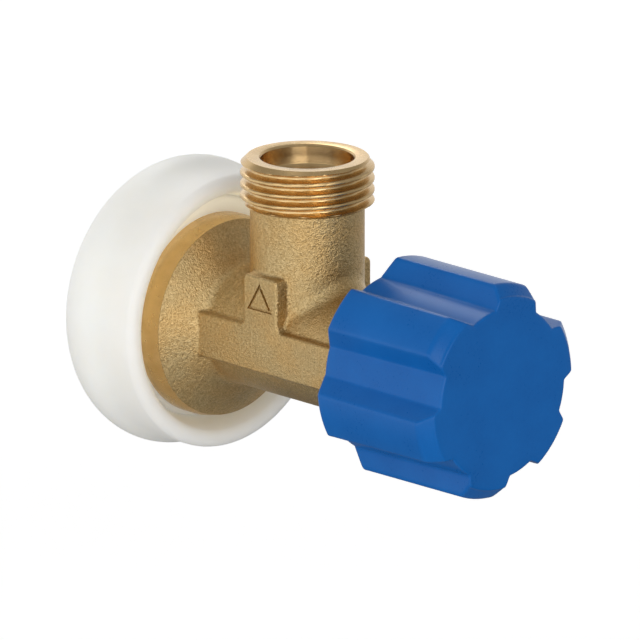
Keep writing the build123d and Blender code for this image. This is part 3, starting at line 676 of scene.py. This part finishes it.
def milky_plastic():
    """Soft white plastic with a faint cloudiness and fine moulding grain. The thin dish round the flange
    gets painted
    light: a creamy tint, strongest towards the top, and faint emitted light, weaker towards the bottom,
    which stand for light that comes through from the outside of the collar and for the flange's shade below
    it."""
    p = Paint(
        "white_plastic",
        Subsurface_Weight=0.85,
        Subsurface_Radius=(1.0, 0.94, 0.84),
        Subsurface_Scale=0.006,
        # Strength of the painted emitted light in the dish
        Emission_Strength=0.26,
    )
    cloud = p.at.noise(90.0, 3.0, 0.5)
    fine = p.at.noise(2600.0, 2.0, 0.6)
    from_axis = (p.x**2.0 + (p.z - COLLAR_LIFT * MM) ** 2.0) ** 0.5
    within_lip = 1.0 - from_axis.ramp((COLLAR_FLOOR_R + 0.2) * MM, (COLLAR_LIP_R + 0.4) * MM)
    dish = within_lip * (p.y * -1.0).ramp((FLANGE_BACK - 1.7) * MM, (FLANGE_BACK + 0.3) * MM)
    # Painted light: a creamy tint in the dish, stronger towards the top, for light coming through the collar
    painted_warm_light = dish * (p.z.ramp(-12.0 * MM, 9.0 * MM) * 0.55 + 0.45)
    # Painted light and shade: emitted light in the dish, weaker towards the bottom where the flange shades
    # it
    painted_glow = dish * (p.z.ramp(-16.0 * MM, 4.0 * MM) * 0.85 + 0.15)
    outside = cloud.ramp(0.3, 0.7).between(rgb(244, 242, 234), rgb(248, 246, 239))
    # Colour of the painted emitted light, warmer where the painted tint is strong
    light = painted_warm_light.between((1.0, 0.98, 0.93, 1.0), (1.0, 0.92, 0.73, 1.0))
    return p.set(
        Base_Color=painted_warm_light.between(outside, rgb(249, 240, 218)),
        Roughness=fine * 0.10 + cloud * 0.06 + 0.4,
        Emission_Color=painted_glow.between((0.0, 0.0, 0.0, 1.0), light),
        Normal=fine.bump(0.08, 0.00004),
    )


def blue_plastic():
    """Satin blue plastic with a faint moulded grain and slight handling shine."""
    p = Paint("blue_plastic", Specular_IOR_Level=0.22)
    cloud = p.at.noise(140.0, 3.0, 0.5)
    fine = p.at.noise(2400.0, 3.0, 0.6)
    scuff = p.at.stretched(1.0, 0.25, 1.0).noise(1500.0, 2.0).ramp(0.62, 0.78)
    return p.set(
        Base_Color=(cloud * 0.7 + fine * 0.3).ramp(0.25, 0.75).between(rgb(6, 90, 165), rgb(10, 98, 175)),
        Roughness=fine * 0.12 + cloud * 0.08 + scuff * 0.05 + 0.2,
        Normal=(fine * 0.6 + cloud * 0.4).bump(0.10, 0.00004),
    )


def matt_compound(name, dark, light):
    """Matt rubber, fibre or slip plastic: a fine grain between two colours."""
    p = Paint(name, Specular_IOR_Level=0.35)
    fine = p.at.noise(3000.0, 3.0)
    return p.set(
        Base_Color=fine.between(dark, light),
        Roughness=fine * 0.2 + 0.55,
        Normal=fine.bump(0.2, 0.00005),
    )


def spring_steel():
    """Brushed steel with a grain across its axis."""
    p = Paint("spring_steel", Metallic=1.0)
    brushed = p.at.stretched(1.0, 6.0, 1.0).noise(1800.0, 2.0)
    return p.set(
        Base_Color=brushed.between(rgb(150, 152, 156), rgb(205, 207, 210)),
        Roughness=brushed * 0.2 + 0.2,
        Normal=brushed.bump(0.1, 0.00003),
    )


CAST, TURNED, WHITE, BLUE = brass_body(), turned_brass(), milky_plastic(), blue_plastic()
BLACK = matt_compound("black_rubber", rgb(24, 24, 25), rgb(44, 44, 45))
FIBRE = matt_compound("fibre", rgb(112, 44, 32), rgb(150, 72, 52))
SLIP = matt_compound("slip_plastic", rgb(214, 214, 208), rgb(236, 236, 230))
STEEL = spring_steel()

# The three outer pieces take the place of their solids
casting = cut_casting()
for side in (-1, 1):
    casting = carve(casting, arrow_groove(side))
body = joined("valve_body_cast", casting, threaded_outlet(), threaded_inlet())
piece("valve_body_cast", body, "valve", CAST, ["valve_body"])
piece("wall_collar_moulded", collar_mesh(), "valve", WHITE, ["wall_collar"])
piece("handwheel_moulded", handwheel_mesh(), "spindle_set", BLUE, ["handwheel"], sharp=50)

# The solids of the headwork stay as they are and get a finish
FINISHES = {
    "bonnet": TURNED,
    "bonnet_gasket": FIBRE,
    "spindle": TURNED,
    "spindle_o_ring_inner": BLACK,
    "spindle_o_ring_outer": BLACK,
    "thrust_washer": SLIP,
    "spindle_circlip": STEEL,
    "valve_carrier": TURNED,
    "carrier_o_ring": BLACK,
    "seat_washer": BLACK,
    "plain_washer": TURNED,
    "washer_screw": STEEL,
}
for name, material in FINISHES.items():
    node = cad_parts[name]
    for place in node.material_slots:
        place.material = material

scene = bpy.context.scene
scene.view_settings.view_transform = "Standard"

# Camera at the photograph's angle: far away, so that its perspective is weak. SCALE is in pixels per metre,
# and PIXEL is where the two axes cross in a picture PICTURE pixels wide
AZIMUTH = math.radians(-44.5)
ELEVATION = math.radians(16.0)
REACH = 1.25
SCALE = 6400.0
PICTURE = 640
PIXEL = (307.4, 338.5)
SENSOR = 36.0
right = Vector((math.cos(AZIMUTH), math.sin(AZIMUTH), 0))
back = Vector((
    math.sin(AZIMUTH) * math.cos(ELEVATION),
    -math.cos(AZIMUTH) * math.cos(ELEVATION),
    math.sin(ELEVATION),
))
up = back.cross(right)
camera_data = bpy.data.cameras.new("camera")
camera = bpy.data.objects.new("camera", camera_data)
scene.collection.objects.link(camera)
camera.location = (
    Vector((0, -OUTLET * MM, 0))
    + back * REACH
    + right * ((PICTURE / 2 - PIXEL[0]) / SCALE)
    + up * ((PIXEL[1] - PICTURE / 2) / SCALE)
)
camera.rotation_euler = back.to_track_quat("Z", "Y").to_euler()
camera_data.sensor_width = SENSOR
camera_data.lens = SCALE * REACH * SENSOR / PICTURE
camera_data.clip_end = 100.0
scene.camera = camera

# White floor below the valve, which keeps a faint shadow
FLOOR_HALF = 1.3
FLOOR_Z = -0.07
floor_mesh = bpy.data.meshes.new("floor")
floor_corners = [(x * FLOOR_HALF, y * FLOOR_HALF, FLOOR_Z) for x, y in ((-1, -1), (1, -1), (1, 1), (-1, 1))]
floor_mesh.from_pydata(floor_corners, [], [(0, 1, 2, 3)])
floor = bpy.data.objects.new("floor", floor_mesh)
scene.collection.objects.link(floor)
ground = Paint(
    "floor", Roughness=0.9, Specular_IOR_Level=0.0, Emission_Color=(1, 1, 1, 1), Emission_Strength=0.335
)
pale = ground.at.noise(3.0).between((0.93, 0.93, 0.93, 1), (0.95, 0.95, 0.95, 1))
floor_mesh.materials.append(ground.set(Base_Color=pale))
floor.visible_diffuse = floor.visible_glossy = floor.visible_shadow = False

VALVE_MIDDLE = Vector((0, -0.035, 0))


def soft_light(name, place, size, power):
    """A square area light that faces the valve."""
    data = bpy.data.lights.new(name, "AREA")
    data.size, data.energy = size, power
    obj = bpy.data.objects.new(name, data)
    obj.location = place
    obj.rotation_euler = (Vector(place) - VALVE_MIDDLE).to_track_quat("Z", "Y").to_euler()
    scene.collection.objects.link(obj)


soft_light("key", (-1.2, -0.3, 0.2), 1.2, 2.0)
soft_light("top", (0.1, 0.25, 1.2), 0.8, 1.5)
soft_light("front", (-0.5, -1.1, 0.3), 0.8, 3.7)
soft_light("rim", (0.5, 0.85, 0.75), 0.5, 2.2)

# Studio walls: bright at the valve's height on the left and behind, and a little on the far right, dim above
# and below, dimmest low down on the right and behind. The camera sees plain white, and so do reflections of
# what lies behind the valve at its height
world = bpy.data.worlds.new("studio")
world.use_nodes = True
scene.world = world
sky = world.node_tree.nodes["Background"]
toward = Value(world.node_tree).node("ShaderNodeTexCoord", output="Generated")
to_x, to_y, to_z = toward.parts()
below_ceiling = 1.0 - to_z.ramp(0.25, 0.6)
left_wall = (to_x * -1.0).ramp(-0.4, 0.3) * to_z.ramp(-0.65, -0.35)
right_wall = to_x.ramp(0.65, 0.95) * to_z.ramp(-0.45, -0.25)
back_height = to_z.ramp(-0.3, -0.1)
corner = to_x.ramp(0.0, 0.5).math("MAXIMUM", to_y.ramp(0.2, 0.6)) * (to_z * -1.0).ramp(0.2, 0.45)
bright = (left_wall * 0.68).math("MAXIMUM", back_height * to_y.ramp(0.2, 0.7) * 0.8) + right_wall * 0.3
walls = 0.38 - corner * 0.2 + bright * below_ceiling
camera_ray = toward.node("ShaderNodeLightPath", output="Is Camera Ray")
glossy_ray = toward.node("ShaderNodeLightPath", output="Is Glossy Ray")
backdrop = glossy_ray * back_height * below_ceiling * to_y.ramp(0.05, 0.45)
seen = (camera_ray + backdrop).math("MINIMUM", 1.0)
strength = (walls * (1.0 - seen) + seen).socket
world.node_tree.links.new(strength, sky.inputs["Strength"])
sky.inputs["Color"].default_value = (1, 1, 1, 1)
